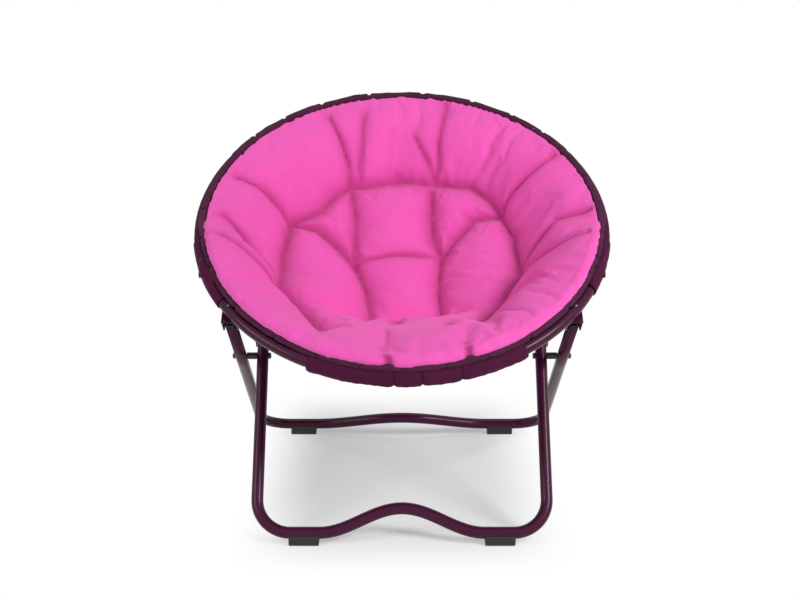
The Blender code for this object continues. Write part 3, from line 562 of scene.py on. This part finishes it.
PAD_FULL = 0.036
SEAT_FULL = 0.037
PAD_CROWN = 0.004
CELL = 0.0055
CHANNEL_DEEP, CHANNEL_WIDE = 0.024, 0.016
FOLD_DEEP, FOLD_WIDE = 0.0125, 0.010
CREASE_DEEP, CREASE_WIDE = 0.016, 0.016
TUFT_DEEP, TUFT_WIDE = 0.008, 0.016
PLEAT_DEEP, PLEAT_WIDE = 0.0110, 0.0055
CRUMPLE_DEEP, CRUMPLE_WIDE = 0.0042, 0.022
PUCKER_DEEP, PUCKER_WIDE = 0.0045, 0.030
DEEPEST = 0.0265
MOST_SWELL = 0.017
CHANNELS = (
    ((-0.219, -0.092), (-0.222, 0.004), (-0.210, 0.084), (-0.154, 0.127), (-0.139, 0.151), (-0.100, 0.190)),
    ((-0.100, 0.190), (-0.076, 0.190), (-0.010, 0.208), (0.068, 0.198)),
    ((0.068, 0.198), (0.133, 0.181), (0.168, 0.146), (0.188, 0.111), (0.211, 0.048), (0.218, -0.036)),
    ((-0.219, -0.092), (-0.179, -0.135), (-0.144, -0.205)),
    ((0.218, -0.036), (0.169, -0.119), (0.141, -0.180)),
    ((-0.098, 0.183), (-0.088, 0.119), (-0.090, 0.026), (-0.067, -0.034), (-0.051, -0.130)),
    ((0.058, 0.184), (0.056, 0.129), (0.060, 0.078), (0.075, 0.043), (0.067, -0.021), (0.072, -0.125)),
    ((-0.210, 0.084), (-0.162, 0.085), (-0.121, 0.056), (-0.090, 0.026)),
    ((0.188, 0.111), (0.136, 0.110), (0.099, 0.072), (0.075, 0.043)),
)
FOLDS = (
    ((-0.147, 0.307), (-0.125, 0.267), (-0.108, 0.228), (-0.100, 0.191)),
    ((0.091, 0.346), (0.075, 0.268), (0.068, 0.197)),
    ((-0.316, 0.128), (-0.266, 0.117), (-0.210, 0.084)),
    ((-0.340, 0.019), (-0.251, -0.049), (-0.222, -0.071)),
    ((-0.335, -0.048), (-0.230, -0.089)),
    ((0.188, 0.111), (0.215, 0.140), (0.300, 0.185)),
    ((0.355, 0.029), (0.299, 0.031), (0.223, -0.023)),
    ((0.340, -0.050), (0.279, -0.044), (0.219, -0.037)),
    ((0.026, 0.285), (0.058, 0.223), (0.066, 0.203)),
    ((-0.077, 0.322), (-0.084, 0.220), (-0.076, 0.190)),
    ((-0.090, 0.026), (-0.006, 0.044), (0.075, 0.043)),
    ((-0.013, -0.200), (0.000, -0.130)),
)
PLEATS = (
    ((-0.0215, -0.374), (-0.0330, -0.318)),
    ((0.1170, -0.362), (0.1085, -0.316)),
)
TUFTS = (
    (-0.210, 0.084), (-0.100, 0.190), (-0.010, 0.207), (0.068, 0.198), (0.188, 0.111), (0.218, -0.036),
    (-0.219, -0.092), (-0.090, 0.026), (0.075, 0.043), (-0.013, -0.200), (0.084, -0.240),
)


def near(lines, flat):
    """Distance from each point of the dish, seen square to the ring, to the nearest of these lines."""
    best = np.full(len(flat), 9.0)
    for line in lines:
        for head, tail in zip(line, line[1:]):
            head, step = np.array(head), np.array(tail) - np.array(head)
            share = np.clip((flat - head) @ step / (step @ step), 0.0, 1.0)
            best = np.minimum(best, np.linalg.norm(flat - head - share[:, None] * step, axis=1))
    return best


def rows_of(mesh, what):
    """The mesh's points (co) or the way they face (normal), in rows of three."""
    flat = np.empty(len(mesh.vertices) * 3)
    mesh.vertices.foreach_get(what, flat)
    return flat.reshape(-1, 3)


def swell(x, u, out):
    """How much fuller the seat is in front of the fold line, where it stands up as a soft roll."""
    front = np.sin(np.clip((u + RING_R - 0.0062) / 0.135, 0.0, 1.0) * math.pi / 2)
    back = np.sin(np.clip((HINGE_U - u) / 0.075, 0.0, 1.0) * math.pi / 2)
    return SEAT_FULL * front * back * np.exp(-(((x - 0.035) / 0.180) ** 2)) * (1.0 - out**8)


# Its plain form, remeshed into even cells
angles = np.linspace(0.0, math.tau, SPOKES + 1)[:-1]
outs = 1.0 - np.linspace(0.0, 1.0, 40) ** 1.3
points, faces = [], []
back = edge_run(angles)[2]
for upper in (True, False):
    quads = net(len(outs), SPOKES, first=len(points))
    faces += quads if upper else [tuple(reversed(quad)) for quad in quads]
    for out in outs:
        x, u, w = dish(angles, out)
        if upper:
            full = (1.0 - out ** (6.0 - 2.6 * back)) ** (0.5 + 0.20 * back)
            w = w + PAD_FULL * full + PAD_CROWN * math.sqrt(max(0.0, 1.0 - out**2)) + swell(x, u, out)
        points += list(zip(x, u, w))
under = len(points) // 2
for k in range(SPOKES):
    n = (k + 1) % SPOKES
    faces.append((k, under + k, under + n, n))
padding = new_piece("padding", points, faces, pink_cloth)
remesh = padding.modifiers.new("even_cells", "REMESH")
remesh.mode = "VOXEL"
remesh.voxel_size = CELL
even = padding.modifiers.new("even", "SMOOTH")
even.factor = 0.5
even.iterations = 3
settle(padding)

# Its sewing: the cloth is drawn down along the channels, folds and tufts, and pleated at the front edge. Each
# point's way to the bound edge (rim) and to the nearest sewn line, fold, pleat, tuft and crease sets its dip.
mesh = padding.data
co, look = rows_of(mesh, "co"), rows_of(mesh, "normal")
top = soft_step((look[:, 2] - 0.15) / 0.35)
facing = soft_step((0.72 * look[:, 2] - 0.69 * look[:, 1] - 0.10) / 0.30)
flat = co[:, :2]
way = flat - (0.0, DISH_U)
far = np.maximum(np.linalg.norm(way, axis=1), 1e-6)
along = way[:, 1] * DISH_U / far
rim = np.sqrt(along**2 - DISH_U**2 + (RING_R - 0.007) ** 2) - along - far
seam = near(CHANNELS, flat)
fold = near(FOLDS, flat)
pleat = near(PLEATS, flat)
tuft = near([(t, (t[0] + 0.0001, t[1])) for t in TUFTS], flat)
crease = np.abs(co[:, 1] - HINGE_U) + 0.5 * np.maximum(np.abs(co[:, 0]) - 0.10, 0.0)
dip = CHANNEL_DEEP * np.exp(-seam / CHANNEL_WIDE)
dip = np.maximum(dip, FOLD_DEEP * np.exp(-fold / FOLD_WIDE) * soft_step((rim - 0.004) / 0.024))
dip = np.maximum(dip, CREASE_DEEP * np.exp(-crease / CREASE_WIDE))
dip = dip + TUFT_DEEP * np.exp(-((tuft / TUFT_WIDE) ** 2))
turn = np.arctan2(flat[:, 0], -flat[:, 1]) * RING_R
pucker = [noise.noise(Vector((t * 34.0, r * 7.0, 5.1))) if r < 0.12 else 0.0 for t, r in zip(turn, rim)]
crumple = [
    noise.noise(Vector((x * 75.0, u * 75.0, 2.6))) if t < 0.07 else 0.0
    for (x, u), t in zip(flat, tuft)
]
dip = np.minimum(dip + CRUMPLE_DEEP * np.array(crumple) * np.exp(-tuft / CRUMPLE_WIDE), DEEPEST)
near_rim = np.exp(-np.maximum(rim - 0.008, 0.0) / PUCKER_WIDE)
dip = dip - PUCKER_DEEP * np.array(pucker) * near_rim * soft_step(rim / 0.008)
dip = np.maximum(dip * top, PLEAT_DEEP * np.exp(-pleat / PLEAT_WIDE) * facing)
co = co - look * dip[:, None]
mesh.vertices.foreach_set("co", co.ravel())
mesh.update()
# Painted shade: points on the top near the channels, folds and tufts, and along the pleats where they face
# the view, carry a shade that darkens the pink.
dark_seams_and_painted_shade = mesh.attributes.new("dark_seams_and_painted_shade", "FLOAT", "POINT")
shade = np.maximum(np.exp(-seam / 0.012), 0.9 * np.exp(-fold / 0.009)) * top
shade = np.maximum(shade, np.exp(-((tuft / 0.011) ** 2)) * top)
shade = np.maximum(shade, 1.5 * np.exp(-((pleat / 0.0065) ** 2)) * facing)
dark_seams_and_painted_shade.data.foreach_set("value", shade.astype(np.float32))

# Its fill: the cloth swells between the sewn lines, up to a limit
held = np.maximum(1.0 - top, np.clip(1.0 - (seam - 0.003) / 0.006, 0.0, 1.0))
held = np.maximum(held, np.clip(1.0 - (crease - 0.004) / 0.006, 0.0, 1.0))
held = np.maximum(held, np.clip(1.0 - (rim - 0.004) / 0.012, 0.0, 1.0))
held = np.maximum(held, np.clip(1.0 - (pleat - 0.002) / 0.004, 0.0, 1.0))
group = padding.vertex_groups.new(name="held")
for index, weight in enumerate(held):
    group.add([index], float(weight), "REPLACE")
cloth = padding.modifiers.new("fill", "CLOTH")
cloth.settings.vertex_group_mass = "held"
cloth.settings.quality = 5
cloth.settings.mass = 0.25
cloth.settings.tension_stiffness = 14.0
cloth.settings.compression_stiffness = 14.0
cloth.settings.shear_stiffness = 6.0
cloth.settings.bending_stiffness = 0.25
cloth.settings.use_pressure = True
cloth.settings.uniform_pressure_force = 5.5
cloth.settings.shrink_min = -0.03
cloth.settings.effector_weights.gravity = 0.0
for step in range(1, 21):
    bpy.context.scene.frame_set(step)
settle(padding)
bpy.context.scene.frame_set(1)
moved = rows_of(padding.data, "co") - co
far = np.linalg.norm(moved, axis=1)
most = MOST_SWELL * soft_step((rim + 0.02 + 0.06 * soft_step((-0.20 - flat[:, 1]) / 0.08)) / 0.07)
moved *= np.minimum(1.0, most / np.maximum(far, 1e-9))[:, None]
padding.data.vertices.foreach_set("co", (co + moved).ravel())
padding.data.update()
padding.vertex_groups.clear()
round_off = padding.modifiers.new("round_off", "SUBSURF")
round_off.levels = 1
round_off.render_levels = 1
settle(padding)

# The two halves, parted along the fold line, ride on the two halves of the ring
for name, keep, node, body in (
    ("back_pad", 1, "back_cushion", "rear_ring"),
    ("seat_pad", -1, "front_cushion", "front_ring"),
):
    work = bmesh.new()
    work.from_mesh(padding.data)
    bmesh.ops.bisect_plane(
        work,
        geom=work.verts[:] + work.edges[:] + work.faces[:],
        plane_co=(0, HINGE_U, 0),
        plane_no=(0, -keep, 0),
        clear_outer=True,
    )
    for face in work.faces:
        face.smooth = True
    closed = bmesh.ops.holes_fill(work, edges=[edge for edge in work.edges if edge.is_boundary])["faces"]
    for face in bmesh.ops.triangulate(work, faces=closed)["faces"]:
        face.smooth = False
    half = bpy.data.meshes.new(name)
    work.to_mesh(half)
    work.free()
    half.materials.append(pink_cloth)
    half.transform(RING_FRAME)
    pad = bpy.data.objects.new(name, half)
    bpy.context.scene.collection.objects.link(pad)
    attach(pad, body)
    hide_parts(node)
    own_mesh(pad)
bpy.data.objects.remove(padding)

# Binding: a ribbed plum tape, woven of polyester and folded over the raw edge where padding and sling meet.
# It is sewn down in short gathers, in two lengths that end at the fold line.
tape, wire, shader = start_finish("plum_tape")
place = wire.place()
along = wire.painted("along")
rib = (along * (math.tau / 0.0016)).sine() * 0.5 + 0.5
stitch = (along * (math.tau / 0.0052)).sine().between(0.2, 0.6)
fade = wire.grain(place, 26.0, 4.0)
fade.tint((0.046, 0.0068, 0.026, 1.0), (0.088, 0.0180, 0.052, 1.0)).feed(shader["Base Color"])
(0.68 + rib * 0.15).feed(shader["Roughness"])
(rib + stitch * 0.6 + wire.grain(place, 300.0, 3.0)).relief(0.35, 0.0006).feed(shader["Normal"])
shader["Sheen Weight"].default_value = 0.10
shader["Sheen Tint"].default_value = (0.70, 0.50, 0.62, 1.0)
shader["Specular IOR Level"].default_value = 0.15

CUT_ANGLE = math.acos(-HINGE_U / (RING_R - EDGE_IN))
CUT_GAP = 0.004
TAPE_SIDES = 14
TAPE_WIDE = 0.0068
TAPE_THICK = 0.0018
TAPE_LEAN = math.radians(-44.0)
GATHER = 0.088
NIP_IN = 0.0024
NIP_DOWN = 0.0022
NIP_NARROW = 0.0018
TAPE_WAVE = 0.0014
for name, start, stop, node, body in (
    ("back_binding", CUT_ANGLE + CUT_GAP, math.tau - CUT_ANGLE - CUT_GAP, "back_piping", "rear_ring"),
    ("front_binding", -CUT_ANGLE + CUT_GAP, CUT_ANGLE - CUT_GAP, "front_piping", "front_ring"),
):
    loops, runs = [], []
    for angle in arc(start, stop, 0.45):
        run, rise, _, front = (float(v) for v in edge_run(angle))
        length = angle * RING_R
        gather = abs(math.sin(length * math.pi / GATHER + 0.9 * math.sin(angle * 3.0)))
        nip = math.exp(-((gather / 0.10) ** 2))
        wave = noise.noise(Vector((length * 16.0, 3.1, 0.4)))
        ripple = noise.noise(Vector((length * 60.0, 8.7, 2.2)))
        run += TAPE_WAVE * wave - NIP_IN * nip - 0.0012 * front
        rise += TAPE_WAVE * wave + 0.0007 * ripple - NIP_DOWN * nip
        lean = TAPE_LEAN * math.cos(angle)
        outline = []
        for k in range(TAPE_SIDES):
            a = math.tau * k / TAPE_SIDES
            wide = TAPE_WIDE + 0.0005 * ripple - NIP_NARROW * nip
            wide *= math.copysign(abs(math.cos(a)) ** 0.7, math.cos(a))
            thick = TAPE_THICK + 0.0003 * wave
            thick *= math.copysign(abs(math.sin(a)) ** 0.8, math.sin(a))
            outwards = run + wide * math.cos(lean) - thick * math.sin(lean)
            upwards = rise + wide * math.sin(lean) + thick * math.cos(lean)
            outline.append((outwards, upwards))
        loops.append(ring_loop(angle, outline))
        runs += [length] * TAPE_SIDES
    edge = skin(name, loops, tape, RING_FRAME)
    edge.data.attributes.new("along", "FLOAT", "POINT").data.foreach_set("value", runs)
    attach(edge, body)
    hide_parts(node)
    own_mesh(edge)

# Floor and light: a wide pale floor that glows white into the background, a glow that also lights the chair
# from below;
# only a patch under the chair keeps the floor's own shading and the chair's shadow. A broad soft lamp over
# the right shoulder of the view, a weaker one on the left, a faint one above, and a white sky.
ground, wire, shader = start_finish("pale_floor")
place = wire.place()
shader["Base Color"].default_value = (0.93, 0.93, 0.93, 1.0)
shader["Roughness"].default_value = 0.9
shader["Specular IOR Level"].default_value = 0.1
across = wire.math("ABSOLUTE", place.axis("X"))
depth = place.axis("Y")
# Painted glow: outside this patch the floor is all white glow, and inside it about a third of the glow is
# mixed into the lit floor.
under = (1 - across.between(0.15, 0.32)) * depth.between(-0.38, -0.18) * (1 - depth.between(0.33, 0.64))
away = 1 - under * 0.68
glow = wire.node("Emission", {}, {"Color": (1.0, 1.0, 1.0, 1.0), "Strength": 1.0})
nodes = ground.node_tree.nodes
lit = Wire(ground.node_tree, nodes["Principled BSDF"].outputs[0])
wire.node("MixShader", {}, {0: away, 1: lit, 2: glow}).feed(nodes["Material Output"].inputs["Surface"])
floor = new_piece("floor", [(-9, -9, 0), (9, -9, 0), (9, 9, 0), (-9, 9, 0)], [(0, 1, 2, 3)], ground)
floor.location.z = -0.0004

for name, spot, size, power in (
    ("broad_lamp", (2.2, -1.7, 2.2), 1.1, 79.0),
    ("side_lamp", (-2.4, -1.5, 1.8), 1.2, 30.0),
    ("top_lamp", (0.0, 0.6, 3.0), 1.4, 7.0),
):
    lamp = bpy.data.objects.new(name, bpy.data.lights.new(name, "AREA"))
    lamp.data.size = size
    lamp.data.energy = power
    lamp.location = spot
    lamp.rotation_euler = (Vector((0, 0, 0.4)) - Vector(spot)).to_track_quat("-Z", "Y").to_euler()
    bpy.context.scene.collection.objects.link(lamp)

world = bpy.data.worlds.new("white_room")
bpy.context.scene.world = world
world.use_nodes = True
wire = Wire(world.node_tree)
seen = wire.node("LightPath", {}, {}, "Is Camera Ray")
mirrored = wire.node("LightPath", {}, {}, "Is Glossy Ray")
through = wire.node("LightPath", {}, {}, "Is Transmission Ray")
straight = wire.math("MAXIMUM", wire.math("MAXIMUM", seen, mirrored), through)
sky = world.node_tree.nodes["Background"].inputs
(0.15 + straight * 0.85).feed(sky["Strength"])
sky["Color"].default_value = (1.0, 1.0, 1.0, 1.0)
bpy.context.scene.view_settings.view_transform = "Standard"
